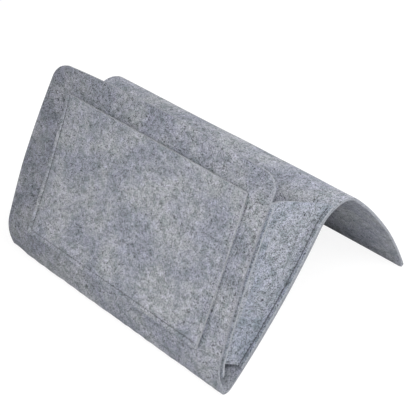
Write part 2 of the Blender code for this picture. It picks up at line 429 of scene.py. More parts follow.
# %% Rows and columns
cut_rounding = 0.45 * mm
cut_facets = 2
sharp_turn = math.radians(50)
beside_seam = (-1.0, -0.5, 0.0, 0.5, 1.0)
closest_columns = 0.4


def even_stations(first, last, spacing):
    """Distances from first to last, about so far apart."""
    count = max(1, int(round((last - first) / spacing)))
    return [first + (last - first) * number / count for number in range(count + 1)]


def corner_stations(end, radius, steps=14):
    """Distances that run into a round corner, close together where it turns fastest."""
    return [end - radius * (1 - math.sin(math.pi / 2 * step / steps)) for step in range(1, steps + 1)]


def corner_loss(distance_to_end, radius):
    """How much a round corner takes off the half width, so far from the sheet's end."""
    if distance_to_end >= radius:
        return 0.0
    rise = radius - distance_to_end
    return radius - math.sqrt(max(radius * radius - rise * rise, 0.0))


def close_columns(count, seam_shares=(), closer=()):
    """Columns from the left edge to the right edge, as shares from -1 to 1, closer near seams."""
    columns = {2 * number / count - 1 for number in range(count + 1)} | set(closer)
    for seam in seam_shares:
        for step in beside_seam:
            columns |= {seam + step / count, -seam - step / count}
    columns = sorted(columns)
    spacing = closest_columns / count
    kept = [columns[0]]
    for share in columns[1:-1]:
        if share - kept[-1] > spacing and columns[-1] - share > spacing:
            kept.append(share)
    return kept + [columns[-1]]


# %% [markdown]
# ## Laying out the cut
#
# A grid primitive is a sheet that is cut square. Each of its points is first moved to its place on
# the flat cut and then into space, and both places are needed later, so the flat ones are kept in
# a list. A cut that isn't square all over, such as a gusset's, has its spare faces deleted.

# %% Cutting and folding
def folded_grid(name, rows, columns, cut_at, place_at):
    """A grid carried into space, and the places of its points on the flat cut."""
    clear_selection()
    bpy.ops.mesh.primitive_grid_add(x_subdivisions=len(columns) - 1, y_subdivisions=len(rows) - 1, size=1.0)
    piece = bpy.context.active_object
    piece.name = piece.data.name = name
    flat = []
    for vertex in piece.data.vertices:
        column = int(round((vertex.co.x + 0.5) * (len(columns) - 1)))
        row = int(round((vertex.co.y + 0.5) * (len(rows) - 1)))
        flat.append(cut_at(columns[column], rows[row]))
    for vertex, spot in zip(piece.data.vertices, flat):
        vertex.co = place_at(*spot)
    return piece, flat


def trimmed(mesh, flat, keep):
    """Deletes the faces that lie off the cut. The places of the points that stay are returned."""
    bpy.ops.object.mode_set(mode="EDIT")
    bpy.ops.mesh.select_mode(type="FACE")
    bpy.ops.mesh.select_all(action="DESELECT")
    bpy.ops.object.mode_set(mode="OBJECT")
    for face in mesh.polygons:
        spots = [flat[index] for index in face.vertices]
        middle = [sum(values) / len(values) for values in zip(*spots)]
        face.select = not keep(*middle)
    kept = {index for face in mesh.polygons if not face.select for index in face.vertices}
    bpy.ops.object.mode_set(mode="EDIT")
    bpy.ops.mesh.delete(type="FACE")
    bpy.ops.object.mode_set(mode="OBJECT")
    return [spot for index, spot in enumerate(flat) if index in kept]


def area_of_cut(mesh, flat):
    """Area of the flat cut, added up from the corners of its faces."""
    corners = np.array([[flat[index] for index in face.vertices] for face in mesh.polygons])
    across, along = corners[..., 0], corners[..., 1]
    return abs((across * np.roll(along, -1, axis=1) - along * np.roll(across, -1, axis=1)).sum()) / 2


# %% [markdown]
# ## Pinching
#
# Stitches press both faces of the felt in. Solidify lists the points of one face first and then
# those of the other in the same order, so each point finds its partner, and the two are moved
# towards each other. How deep they went is kept too, for the painted shade in the grooves.

# %% Pinching both faces
def pinch_faces(mesh, flat, pinch):
    """Moves both faces of the felt towards each other by the depth that pinch gives."""
    # The depth is kept for the painted shade that darkens the grooves.
    pinched = mesh.attributes.new("pinched", "FLOAT", "POINT").data
    for index, spot in enumerate(flat):
        depth = pinch(*spot)
        if depth > 0:
            partner = index + len(flat)
            first, second = mesh.vertices[index], mesh.vertices[partner]
            inwards = (second.co - first.co).normalized() * depth
            first.co += inwards
            second.co -= inwards
            pinched[index].value = pinched[partner].value = depth / seam_groove


# %% [markdown]
# ## All steps of a sheet
#
# Flat grid, fold, trim, thickness, pinch, rounded edges: the order matters. The thickness comes
# after the fold, so that it stands square to the bent felt everywhere, and the pinch before the
# bevel, which adds points that have no partner. The pattern of one face is moved a felt's
# thickness away from that of the other, so that they differ.

# %% A sheet of felt
def fold_sheet(name, rows, columns, cut_at, place_at, seed, pinch, keep=None):
    """A sheet of felt over a grid of rows and columns, and the area of its flat cut.

    cut_at gives the place on the flat cut, and place_at carries that into space. pinch gives how
    deep the stitches pinch both faces there, and keep says whether a face belongs to the cut."""
    piece, flat = folded_grid(name, rows, columns, cut_at, place_at)
    mesh = piece.data
    if keep is not None:
        flat = trimmed(mesh, flat, keep)
    area = area_of_cut(mesh, flat)
    attribute = mesh.attributes.new("flat_place", "FLOAT_VECTOR", "POINT")
    attribute.data.foreach_set("vector", [value for spot in flat for value in (spot[0], spot[1], seed)])
    solidify = piece.modifiers.new("thickness", "SOLIDIFY")
    solidify.thickness = felt
    solidify.offset = 0.0
    solidify.use_even_offset = False
    solidify.material_offset_rim = 1
    mesh.materials.append(None)
    mesh.materials.append(None)
    apply_modifiers(piece)
    pinch_faces(mesh, flat, pinch)
    places = np.zeros(len(mesh.vertices) * 3, np.float32)
    attribute = mesh.attributes["flat_place"]
    attribute.data.foreach_get("vector", places)
    places = places.reshape(-1, 3)
    places[len(flat):, 2] += felt
    attribute.data.foreach_set("vector", places.ravel())
    bevel = piece.modifiers.new("cut edge", "BEVEL")
    bevel.width = cut_rounding
    bevel.segments = cut_facets
    bevel.limit_method = "ANGLE"
    bevel.angle_limit = sharp_turn
    apply_modifiers(piece)
    make_active(piece)
    bpy.ops.object.shade_smooth_by_angle(angle=sharp_turn)
    print(name, len(mesh.polygons), "faces, cut of", round(area * 1e4), "square centimetres")
    return piece, area


# %% [markdown]
# ## Wool felt
#
# The felt is pressed from light and dark grey fibres. From near by it has short dark flecks and
# pale ones, and from further off it is cloudy, here bluish and there a little brown. Noise at
# four sizes gives that: clouds of 4 cm, blotches of 8 mm, flecks of 2.5 mm that a distorted noise
# draws out like fibres, and a fine grain of 1.3 mm. The same noise drives the bump. Where stitches
# or an edge pinch the felt, shade is painted into its colour, so the sheets carry how deep they are pinched.
# A picture of felt could be wrapped round the piece, but it would repeat and blur from near by,
# while noise does neither. A few helpers come first, for the nodes that all the finishes use.

# %% Mottling, and helpers for its nodes
# The counts are features per metre
cloud_count = 24.0
blotch_count = 120.0
fleck_count = 400.0
fibre_count = 760.0
tuft_count = 260.0
fibre_end_count = 1100.0
greenish_dark = (0.715, 0.765, 0.745)
lilac_light = (1.20, 1.17, 1.24)
groove_shade_level = 0.58
felt_roughness = 0.95
felt_specular = 0.15
nap_roughness = 0.6
print("clouds of", round(1000 / cloud_count), "mm, grain of", round(1000 / fibre_count, 1), "mm")


def link(tree, source, target):
    tree.links.new(source, target)


def new_finish(name, attribute):
    """A new material: itself, its nodes, its shader, and the place that its pattern follows."""
    material = bpy.data.materials.new(name)
    material.use_nodes = True
    tree = material.node_tree
    node = tree.nodes.new("ShaderNodeAttribute")
    node.attribute_name = attribute
    return material, tree, tree.nodes["Principled BSDF"], node.outputs["Vector"]


def noise_at(tree, place, scale, detail, roughness, distortion):
    """A noise texture on the flat cut, whose size is in features per metre."""
    node = tree.nodes.new("ShaderNodeTexNoise")
    node.inputs["Scale"].default_value = scale
    node.inputs["Detail"].default_value = detail
    node.inputs["Roughness"].default_value = roughness
    node.inputs["Distortion"].default_value = distortion
    link(tree, place, node.inputs["Vector"])
    return node.outputs["Fac"]


def ramp(tree, value, stops):
    """Turns a value into a colour, between given stops."""
    node = tree.nodes.new("ShaderNodeValToRGB")
    elements = node.color_ramp.elements
    while len(elements) < len(stops):
        elements.new(0.5)
    for element, (position, colour) in zip(elements, stops):
        element.position = position
        element.color = (*colour, 1.0)
    link(tree, value, node.inputs["Fac"])
    return node.outputs["Color"]


def multiplied(tree, first, second):
    """One colour times another."""
    node = tree.nodes.new("ShaderNodeMix")
    node.data_type = "RGBA"
    node.blend_type = "MULTIPLY"
    node.inputs["Factor"].default_value = 1.0
    link(tree, first, node.inputs["A"])
    link(tree, second, node.inputs["B"])
    return node.outputs["Result"]


def grey(value):
    return (value, value, value)


def shaded(tree, colour, value, stops):
    """Multiplies a colour by the greys that a value picks between stops."""
    greys = ramp(tree, value, [(position, grey(level)) for position, level in stops])
    return multiplied(tree, colour, greys)


def bumped(tree, height, strength, depth, below=None):
    """Raises and lowers the surface by a height, over an earlier bump if there is one."""
    node = tree.nodes.new("ShaderNodeBump")
    node.inputs["Strength"].default_value = strength
    node.inputs["Distance"].default_value = depth
    link(tree, height, node.inputs["Height"])
    if below is not None:
        link(tree, below, node.inputs["Normal"])
    return node.outputs["Normal"]


# %% [markdown]
# ## The face of the felt
#
# Clouds mix a cool and a warm grey, blotches tint them greenish or lilac, and flecks and fibres
# shade them. Felt has almost no shine, so the roughness is high and a little sheen stands in for
# the fibres that stand up from the surface.

# %% The felt's finish
def wool_felt(name, cool, warm, cloudiness, fleck_level, left_shade_level=1.0):
    """Heather grey felt. Its clouds go so far below and above its mean tone, its dark flecks have
    this share of it, and so has its left end, which is darkened as painted shade."""
    material, tree, shader, place = new_finish(name, "flat_place")
    clouds = noise_at(tree, place, cloud_count, 3.0, 0.55, 0.4)
    blotches = noise_at(tree, place, blotch_count, 3.0, 0.6, 0.9)
    flecks = noise_at(tree, place, fleck_count, 3.0, 0.7, 1.6)
    fibres = noise_at(tree, place, fibre_count, 2.0, 0.6, 2.4)
    colour = ramp(tree, clouds, [(0.40, cool), (0.60, warm)])
    colour = shaded(tree, colour, clouds, [(0.30, 1 - cloudiness), (0.50, 1.0), (0.70, 1 + cloudiness)])
    tints = ramp(tree, blotches, [(0.34, greenish_dark), (0.50, grey(1.0)), (0.66, lilac_light)])
    colour = multiplied(tree, colour, tints)
    colour = shaded(tree, colour, flecks, [(0.36, fleck_level), (0.45, 0.96), (0.64, 1.24)])
    colour = shaded(tree, colour, fibres, [(0.38, fleck_level), (0.47, 1.0), (0.62, 1.30)])
    # Painted shade: the felt darkens towards its left end, where less light falls on it.
    across = tree.nodes.new("ShaderNodeSeparateXYZ")
    link(tree, place, across.inputs["Vector"])
    left_shade_share = tree.nodes.new("ShaderNodeMapRange")
    left_shade_share.inputs["From Min"].default_value = -fold_width / 2
    left_shade_share.inputs["From Max"].default_value = 0.0
    link(tree, across.outputs["X"], left_shade_share.inputs["Value"])
    colour = shaded(tree, colour, left_shade_share.outputs["Result"], [(0.0, left_shade_level), (1.0, 1.0)])
    # Painted shade: darker where stitches or the patch's edge pinch the felt.
    groove_shade = tree.nodes.new("ShaderNodeAttribute")
    groove_shade.attribute_name = "pinched"
    colour = shaded(tree, colour, groove_shade.outputs["Fac"], [(0.35, 1.0), (1.0, groove_shade_level)])
    link(tree, colour, shader.inputs["Base Color"])
    shader.inputs["Roughness"].default_value = felt_roughness
    shader.inputs["Specular IOR Level"].default_value = felt_specular
    shader.inputs["Sheen Weight"].default_value = 0.10
    shader.inputs["Sheen Roughness"].default_value = nap_roughness
    normal = bumped(tree, fibres, 0.45, 0.35 * mm)
    normal = bumped(tree, flecks, 0.50, 0.45 * mm, normal)
    normal = bumped(tree, blotches, 0.45, 0.8 * mm, normal)
    link(tree, normal, shader.inputs["Normal"])
    return material


# %% [markdown]
# ## The cut edge
#
# A cut goes through the whole mat of fibres, so the edge shows their ends: plain grey with fine
# tufts, without the clouds of the face.

# %% The edge's finish
def cut_edge(name, colour):
    """The ends of the fibres at a cut edge, with tufts of them darker and lighter."""
    material, tree, shader, place = new_finish(name, "flat_place")
    tufts = noise_at(tree, place, tuft_count, 3.0, 0.6, 0.8)
    ends = noise_at(tree, place, fibre_end_count, 2.0, 0.6, 1.0)
    dark, light = (tuple(level * value for value in colour) for level in (0.82, 1.15))
    paint = ramp(tree, tufts, [(0.3, dark), (0.7, light)])
    paint = shaded(tree, paint, ends, [(0.36, 0.55), (0.5, 1.0), (0.66, 1.30)])
    link(tree, paint, shader.inputs["Base Color"])
    shader.inputs["Roughness"].default_value = felt_roughness
    shader.inputs["Specular IOR Level"].default_value = felt_specular
    shader.inputs["Sheen Weight"].default_value = 0.15
    shader.inputs["Sheen Roughness"].default_value = nap_roughness
    link(tree, bumped(tree, ends, 0.6, 0.4 * mm), shader.inputs["Normal"])
    return material


# %% [markdown]
# ## Mixing the finishes
#
# All the felt is from one roll or nearly so. The patch is a shade lighter than the strip, and the
# gussets, which are seen from the side, are bluer and more even, and painted darker as shade against the
# lamps at the right.

# %% Finishes
warm_wool = (0.350, 0.362, 0.390)
strip_finish = wool_felt("strip_felt_finish", (0.326, 0.344, 0.403), warm_wool, 0.18, 0.14, 0.72)
back_finish = wool_felt("back_felt_finish", (0.330, 0.347, 0.404), warm_wool, 0.15, 0.20)
# Painted shade: the strip's cut edge is darker than its face, where the lamps at the right hit it.
shaded_strip_edge = cut_edge("strip_cut_edge_painted_shade", (0.268, 0.282, 0.315))
pocket_finish = wool_felt("pocket_felt_finish", (0.338, 0.356, 0.413), (0.362, 0.374, 0.400),
                          0.15, 0.26, 0.87)
# Painted highlight: the patch's cut edge is lighter, for the light line along its top.
highlit_pocket_edge = cut_edge("pocket_cut_edge_painted_highlight", (0.425, 0.440, 0.470))
# Painted shade: the gussets' felt is darker than the strip's, against the strong light from the right.
gusset_shaded_finish = wool_felt("gusset_felt_shaded_finish", (0.302, 0.330, 0.388), (0.325, 0.343, 0.382), 0.04, 0.06)
gusset_edge = cut_edge("gusset_cut_edge", (0.315, 0.332, 0.368))


def dress(piece, finish, edge_finish):
    """Gives a sheet its finish and that of its cut edge."""
    piece.data.materials[0] = finish
    piece.data.materials[1] = edge_finish


print(len(bpy.data.materials), "materials so far")

# %% [markdown]
# ## The front half of the strip
#
# The front panel is cut a little narrower at the mouth, with round corners of 16 mm. It takes in
# the front half of the fold, down to the line that lies on the table, and turns about that line.

# %% Front felt
mouth_corner = 16.0 * mm
crown_reach = 90.0 * mm
front_end = front_arc + front_length
panel_row = 1.7 * mm
margin_seam_share = 0.975
front_rows = even_stations(0.0, front_end - mouth_corner, panel_row)
front_rows += corner_stations(front_end, mouth_corner)
# Shares of the half width where the patch's right-hand edge dents the panel
dent_columns = even_stations(0.79, 0.87, 0.0035)
front_columns = close_columns(count=180, seam_shares=[margin_seam_share], closer=dent_columns)


def front_cut(share, along):
    edge = front_edge(along, 1 if share > 0 else -1)
    x = share * (edge - corner_loss(front_end - along, mouth_corner))
    crown = mouth_crown * (1 - (x / edge) ** 2) * eased(1 - (front_end - along) / crown_reach)
    return x, along + crown


def front_spot(x, along):
    return front_place(x, along, 0.0)


def front_pinch(x, along):
    margin = margin_groove_share * margin_pinch(x, along, front_edge, front_seam_low, front_seam_high)
    return max(margin, patch_pinch(x, along), patch_dent(x, along))


front_felt, front_area = fold_sheet("front_felt", front_rows, front_columns, front_cut, front_spot, 0.0,
                                    front_pinch)
dress(front_felt, strip_finish, shaded_strip_edge)
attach(front_felt, "front")
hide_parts("front_panel")

# %% [markdown]
# ## The back half and the flap
#
# Behind the fold the same strip goes up as the back panel, over the ridge, and down as the flap.
# It is one sheet here too, because the ridge is a bend and not a seam. It follows the back
# panel below the ridge and the flap beyond it, and turns smoothly in between.

# %% Back and flap felt
hem_corner = 6.0 * mm
back_row = 2.0 * mm
back_rows = even_stations(0.0, hem - hem_corner, back_row) + corner_stations(hem, hem_corner, 6)


def back_cut(share, along):
    return share * (back_edge(along, 1 if share > 0 else -1) - corner_loss(hem - along, hem_corner)), along


def back_spot(x, along):
    return back_place(x, along, 0.0)


def back_pinch(x, along):
    return margin_pinch(x, along, back_edge, back_seam_low, back_seam_high)


back_columns = close_columns(count=168, seam_shares=[margin_seam_share])
back_felt, back_area = fold_sheet("back_and_flap_felt", back_rows, back_columns, back_cut, back_spot, 1.0,
                                  back_pinch)
dress(back_felt, back_finish, shaded_strip_edge)
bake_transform(back_felt)
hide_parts("back_panel", "flap")

# %% [markdown]
# ## The small pocket
#
# A patch lies flat on the front panel and is sewn down on three sides. It could be a raised part
# of the panel, but then it would have no cut edges and no slit at its top. So it is a sheet of its
# own that follows the panel's curves one thickness of felt further out.

# %% Small pocket felt
def patch_cut(share, along):
    return share * patch_edge(along, 1 if share > 0 else -1), along


lip_parting = 1.4 * mm
lip_reach = 26.0 * mm


def patch_spot(x, along):
    """The patch lies on the panel, but its free top edge stands off a little."""
    across = x / patch_half
    parting = lip_parting * eased((along - patch_end) / lip_reach + 1) * (1 - across ** 4)
    return front_place(x, along, -layer - parting)


fine_row = 1.0 * mm
fine_rows_end = patch_start + 12 * mm
patch_seam_share = 0.961
patch_rows = even_stations(patch_start, fine_rows_end, fine_row)
patch_rows += even_stations(fine_rows_end, patch_end, panel_row)[1:]
patch_columns = close_columns(count=146, seam_shares=[patch_seam_share])
small_pocket_felt, patch_area = fold_sheet("small_pocket_felt", patch_rows, patch_columns, patch_cut,
                                           patch_spot, 2.0, patch_pinch)
dress(small_pocket_felt, pocket_finish, highlit_pocket_edge)
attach(small_pocket_felt, "front")
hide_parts("small_pocket")

# %% [markdown]
# ## The gussets
#
# Each gusset is one piece of felt in the shape of a long wedge. Its front flange is sewn inside
# the front panel's margin, its web turns back across the gap, and its back flange is sewn on the
# back panel's margin. The web creases inwards when the pocket closes, so it is made in two sheets
# that meet at the crease, one from the front flange and one from the back flange.
# A cut across the gusset is a line through a few corners, which are rounded off.

# %% Measures of the gussets
flange_width = 7.0 * mm
flange_overhang = 2.0 * mm
flange_parting = 1.1 * mm
flange_corner = 3.0 * mm
back_flange_width = 8.0 * mm
turn_radius = 3.0 * mm
turn_steps = 6
longest_turn = 0.45
front_flange_low = 17.0 * mm
front_web_low, front_web_high = 27.0 * mm, 191.0 * mm
back_web_low, back_web_high = 22.5 * mm, 200.0 * mm
crease_share = 0.37
crease_depth = 7.0 * mm
crease_softness = 9.0 * mm
low_crease_share = 0.35
up_the_web = Vector((0.0, 0.35, 0.94))
web_row = 1.8 * mm
web_columns = 24
flange_columns = 10
print("flanges", round(flange_width / mm), "and", round(back_flange_width / mm), "mm wide")

# %% [markdown]
# ## Lines through corners
#
# Felt doesn't turn sharply. Each corner is cut by a quadratic curve that touches both its arms,
# and the line's own length then says where a point of the flat cut comes to lie.

# %% Rounded lines
def rounded(corners, radii):
    """Points along a line through corners, each corner cut by a smooth curve.

    A curve takes up no more than its radius, or nearly half of the shorter arm."""
    points = [corners[0]]
    for before, corner, after, radius in zip(corners, corners[1:], corners[2:], radii):
        reach = min(radius, (before - corner).length * longest_turn, (after - corner).length * longest_turn)
        first = corner + (before - corner).normalized() * reach
        last = corner + (after - corner).normalized() * reach
        for step in range(turn_steps + 1):
            share = step / turn_steps
            points.append(first * (1 - share) ** 2 + corner * 2 * share * (1 - share) + last * share ** 2)
    points.append(corners[-1])
    return points


def line_length(line):
    """Length of a line of points."""
    return sum((second - first).length for first, second in zip(line, line[1:]))


def point_on(line, distance):
    """The point so far along a line of points."""
    for first, second in zip(line, line[1:]):
        gap = (second - first).length
        if 0 < gap and distance <= gap:
            return first.lerp(second, distance / gap)
        distance -= gap
    return line[-1]


# %% [markdown]
# ## Across a gusset
#
# The felt runs from the front flange's raw edge along the front panel, turns back at the flange's
# inner side, dips in at the crease, meets the back panel and runs out to its raw edge. The crease
# is shallow at the bottom, where the panels are close, and deeper at the top.

# %% One line across a gusset
def gusset_line(side, level, front_half):
    """Half of the felt's line across the gusset, at a level from 0 at the web's bottom to 1 at its top.

    The front half runs from the front flange's raw edge to the crease, and the back half from there
    to the back flange's raw edge. Both share their direction at the crease."""
    front_along = up_front(front_web_low + (front_web_high - front_web_low) * level)
    back_along = up_back(back_web_low + (back_web_high - back_web_low) * level)
    edge = front_edge(front_along, side)
    rear = back_edge(back_along, side)
    front_out = front_place(side * (edge + flange_overhang), front_along, layer + flange_parting)
    front_sewn = front_place(side * (edge - margin_seam_inset), front_along, layer)
    front_in = front_place(side * (edge - flange_width), front_along, layer)
    back_in = back_place(side * (rear - back_flange_width), back_along, layer)
    back_out = back_place(side * rear, back_along, layer)
    across = back_in - front_in
    inward = across.cross(up_the_web).normalized()
    if inward.x * side > 0:
        inward.negate()
    depth = crease_depth * (low_crease_share + (1 - low_crease_share) * level)
    crease = front_in + crease_share * across + depth * inward
    whole = rounded([front_out, front_sewn, front_in, crease, back_in, back_out],
                    [turn_radius, turn_radius, crease_softness, turn_radius])
    middle = 1 + 2 * (turn_steps + 1) + turn_steps // 2
    return whole[:middle + 1] if front_half else whole[middle:]


top_lengths = [round(line_length(gusset_line(1, 1.0, front_half)) / mm, 1) for front_half in (True, False)]
print("felt across the right gusset's top, in front of the crease and behind it:", top_lengths)

# %% [markdown]
# ## The two sheets of a gusset
#
# Each level up the gusset has its own line, and the sheet's columns are spread along it, some on
# the flange and the rest on the web. Below the web only the front flange goes on, to a round end.

# %% Gusset sheets
def gusset_sheet(side, front_half, name, seed):
    """One of the two sheets of a gusset. The front flange runs on below the web, to a round end."""
    web_low, web_high = (front_web_low, front_web_high) if front_half else (back_web_low, back_web_high)
    low = front_flange_low if front_half else back_web_low
    height = web_high - web_low
    flange = flange_overhang + flange_width if front_half else back_flange_width
    lines = {}

    def line_for(up):
        if up not in lines:
            line = gusset_line(side, max(up, 0.0) / height, front_half)
            if up < 0:
                foot, start = up_front(web_low + up), up_front(web_low)
                shift = front_place(side * front_edge(foot, side), foot, layer)
                shift -= front_place(side * front_edge(start, side), start, layer)
                line = [point + shift for point in line]
            lines[up] = line
        return lines[up]

    def cut(share, up):
        length = line_length(line_for(up))
        first_width = flange if front_half else length - flange
        x = first_width * min(share, 1.0) + (length - first_width) * max(share - 1.0, 0.0)
        if up < 0:
            loss = corner_loss(up + web_low - low, flange_corner)
            x = flange / 2 + (x - flange / 2) * (1 - 2 * loss / flange)
        return x, up

    def place(x, up):
        return point_on(line_for(up), x)

    def keep(x, up):
        return up > 0 or x < flange

    def pinch(x, up):
        if front_half:
            sewn = front_seam_low <= up_front(web_low + up) <= front_seam_high
            return groove(x - flange_overhang - margin_seam_inset) if sewn else 0.0
        sewn = back_seam_low <= up_back(web_low + up) <= back_seam_high
        return groove(line_length(line_for(up)) - x - margin_seam_inset) if sewn else 0.0

    rows = even_stations(0.0, height, web_row)
    if low < web_low:
        rows = even_stations(low - web_low, 0.0, 0.5 * web_row)[:-1] + rows
    parts = (flange_columns, web_columns) if front_half else (web_columns, flange_columns)
    columns = even_stations(0.0, 1.0, 1 / parts[0]) + even_stations(1.0, 2.0, 1 / parts[1])[1:]
    piece, area = fold_sheet(name, rows, columns, cut, place, seed, pinch, keep)
    return piece, (max(line_length(line_for(up)) for up in rows), web_high - low), area


# %% [markdown]
# ## Sewing in the gussets
#
# Each gusset's front and back sheets are made, given their finish and fixed where they lie,
# and the solids that they stand for are hidden.

# %% Gusset felts
for side, word in ((1, "right"), (-1, "left")):
    for half in ("front", "back"):
        front_half = half == "front"
        seed = 3.0 + 2 * side + (0.5 if front_half else 0.0)
        piece, cut_size, cut_area = gusset_sheet(side, front_half, f"{word}_gusset_{half}_felt", seed)
        dress(piece, gusset_shaded_finish, gusset_edge)
        if front_half:
            along = up_front((front_web_low + front_web_high) / 2)
            hinge = front_place(side * (front_edge(along, side) - flange_width), along, layer)
        else:
            along = up_back((back_web_low + back_web_high) / 2)
            hinge = back_place(side * (back_edge(along, side) - back_flange_width), along, layer)
        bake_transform(piece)
        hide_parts(f"{word}_gusset_{half}_flange", f"{word}_gusset_{half}_leaf")
        print("cut from", [round(value / mm) for value in cut_size], "mm")

# %% [markdown]
# ## The stitches
#
# A lockstitch seam shows one row of short stitches on each face of the felt, the needle thread on
# one and the bobbin thread on the other. Each stitch dips into the felt at both ends. A dark line
# painted on the felt would do from far off, but only real thread catches the light from near by. A
# straight row is made from one stitch that an array repeats, and is then carried along its seam the
# same way as the felt itself, so that it lies in the groove that it pulls into the felt.

# %% One straight row
stitch_pitch = 3.4 * mm
stitch_length = 2.9 * mm
thread_radius = 0.40 * mm
stitch_rise = 0.30 * mm
stitch_dip = 0.55 * mm
thread_sides = 6
thread_smoothing = math.radians(70)
bends_at = (0.15, 0.35, 0.65, 0.85)
print("stitches of", round(stitch_length / mm, 1), "mm, one every", round(stitch_pitch / mm, 1), "mm")


def straight_row(name, length):
    """A straight row of stitches along X, each an arch that starts and ends inside the felt."""
    count = max(1, int(round(length / stitch_pitch)))
    pitch = length / count
    clear_selection()
    bpy.ops.mesh.primitive_cylinder_add(vertices=thread_sides, radius=thread_radius, depth=stitch_length,
                                        location=(pitch / 2, 0.0, 0.0), rotation=(0.0, math.pi / 2, 0.0))
    row = bpy.context.active_object
    row.name = row.data.name = name
    bpy.ops.object.transform_apply(location=True, rotation=True, scale=True)
    bpy.ops.object.mode_set(mode="EDIT")
    first = (pitch - stitch_length) / 2
    for share in bends_at:
        bpy.ops.mesh.select_all(action="SELECT")
        bpy.ops.mesh.bisect(plane_co=(first + share * stitch_length, 0.0, 0.0), plane_no=(1.0, 0.0, 0.0))
    bpy.ops.object.mode_set(mode="OBJECT")
    around = []
    for vertex in row.data.vertices:
        share = (vertex.co.x - first) / stitch_length
        around.append(math.atan2(vertex.co.z, vertex.co.y))
        vertex.co.z += (stitch_rise + stitch_dip) * 4 * share * (1 - share) - stitch_dip
    twist = row.data.attributes.new("thread_place", "FLOAT_VECTOR", "POINT")
    for item, vertex, angle in zip(twist.data, row.data.vertices, around):
        item.vector = (vertex.co.x, angle * thread_radius, 0.0)
    array = row.modifiers.new("row", "ARRAY")
    array.count = count
    array.use_relative_offset = False
    array.use_constant_offset = True
    array.constant_offset_displace = (pitch, 0.0, 0.0)
    apply_modifiers(row)
    return row


# %% [markdown]
# ## Carrying a row to its seam
#
# A row has a length along X and a little width and height. The length goes along the seam's path
# on the flat cut, the width across it, and the height out of the felt's face.

# %% Laying and joining the rows
def lay_row(row, path_at, place_at, face, outwards):
    """Carries a straight row onto the felt. path_at gives the place on the flat cut after a distance."""
    ahead = 0.1 * mm
    for vertex in row.data.vertices:
        x, along = path_at(vertex.co.x)
        next_x, next_along = path_at(vertex.co.x + ahead)
        run_x, run_along = next_x - x, next_along - along
        aside = vertex.co.y / math.hypot(run_x, run_along)
        vertex.co = place_at(x - run_along * aside, along + run_x * aside, face + outwards * vertex.co.z)


def sew(name, legs, place_at, face, outwards, body, node):
    """One face's stitches of a seam that runs in legs, each a path and its length."""
    rows = []
    for number, (path_at, length) in enumerate(legs):
        row = straight_row(f"{name}_{number}", length)
        lay_row(row, path_at, place_at, face, outwards)
        rows.append(row)
    clear_selection()
    for row in rows:
        row.select_set(True)
    bpy.context.view_layer.objects.active = rows[0]
    if len(rows) > 1:
        bpy.ops.object.join()
    piece = rows[0]
    piece.name = piece.data.name = name
    bpy.ops.object.mode_set(mode="EDIT")
    bpy.ops.mesh.select_all(action="SELECT")
    bpy.ops.mesh.normals_make_consistent(inside=False)
    bpy.ops.object.mode_set(mode="OBJECT")
    bpy.ops.object.shade_smooth_by_angle(angle=thread_smoothing)
    piece.data.materials.append(thread_finish)
    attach(piece, body)
    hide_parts(node)
    print(name, len(piece.data.polygons), "faces")


# %% [markdown]
# ## Thread
#
# Sewing thread is two plies twisted together, so a diagonal band pattern runs round it. Each
# stitch keeps its own place along and around the thread as an attribute for the pattern.

# %% The thread's finish
ply_count = 320.0
fuzz_count = 2400.0


def sewing_thread():
    """Two plies of grey polyester, twisted together."""
    material, tree, shader, place = new_finish("grey_thread_finish", "thread_place")
    plies = tree.nodes.new("ShaderNodeTexWave")
    plies.bands_direction = "DIAGONAL"
    plies.inputs["Scale"].default_value = ply_count
    plies.inputs["Distortion"].default_value = 0.4
    link(tree, place, plies.inputs["Vector"])
    fuzz = noise_at(tree, place, fuzz_count, 2.0, 0.6, 0.3)
    colour = ramp(tree, plies.outputs["Fac"], [(0.1, (0.040, 0.042, 0.049)), (0.7, (0.090, 0.094, 0.106))])
    colour = shaded(tree, colour, fuzz, [(0.3, 0.80), (0.7, 1.15)])
    link(tree, colour, shader.inputs["Base Color"])
    shader.inputs["Roughness"].default_value = 0.65
    shader.inputs["Sheen Weight"].default_value = 0.1
    link(tree, bumped(tree, plies.outputs["Fac"], 0.5, 0.15 * mm), shader.inputs["Normal"])
    return material


thread_finish = sewing_thread()
print(thread_finish.name)

# %% [markdown]
# ## Paths of the seams
#
# The patch's seam is three straight legs, down one side, along the bottom and up the other. The
# seams of the gussets keep the same distance from the panels' raw edges all the way.

# %% Sewing the seams
stitch_sink = 0.15 * mm
near_face = half_felt - seam_groove
sunk_face = near_face - stitch_sink
far_face = layer + half_felt - seam_groove


def straight_leg(start, end):
    """A straight leg of a seam, from one place on the flat cut to another."""
    length = math.hypot(end[0] - start[0], end[1] - start[1])

    def path_at(distance):
        share = distance / length
        return start[0] + (end[0] - start[0]) * share, start[1] + (end[1] - start[1]) * share

    return path_at, length


def margin_leg(edge_at, side, low, high):
    """A leg that keeps the same distance from a panel's raw edge."""

    def path_at(distance):
        return side * (edge_at(low + distance, side) - margin_seam_inset), low + distance

    return path_at, high - low


seam_end_margin = 2.0 * mm
top, bottom = patch_end - seam_end_margin, patch_start + patch_seam_inset
corners = []
for side, along in ((-1, top), (-1, bottom), (1, bottom), (1, top)):
    corners.append((side * (patch_edge(along, side) - patch_seam_inset), along))
patch_legs = [straight_leg(start, end) for start, end in zip(corners, corners[1:])]
sew("small_pocket_needle_stitches", patch_legs, front_place, -far_face, -1, "front",
    "small_pocket_seam_needle_thread")
sew("small_pocket_bobbin_stitches", patch_legs, front_place, near_face, 1, "front",
    "small_pocket_seam_bobbin_thread")

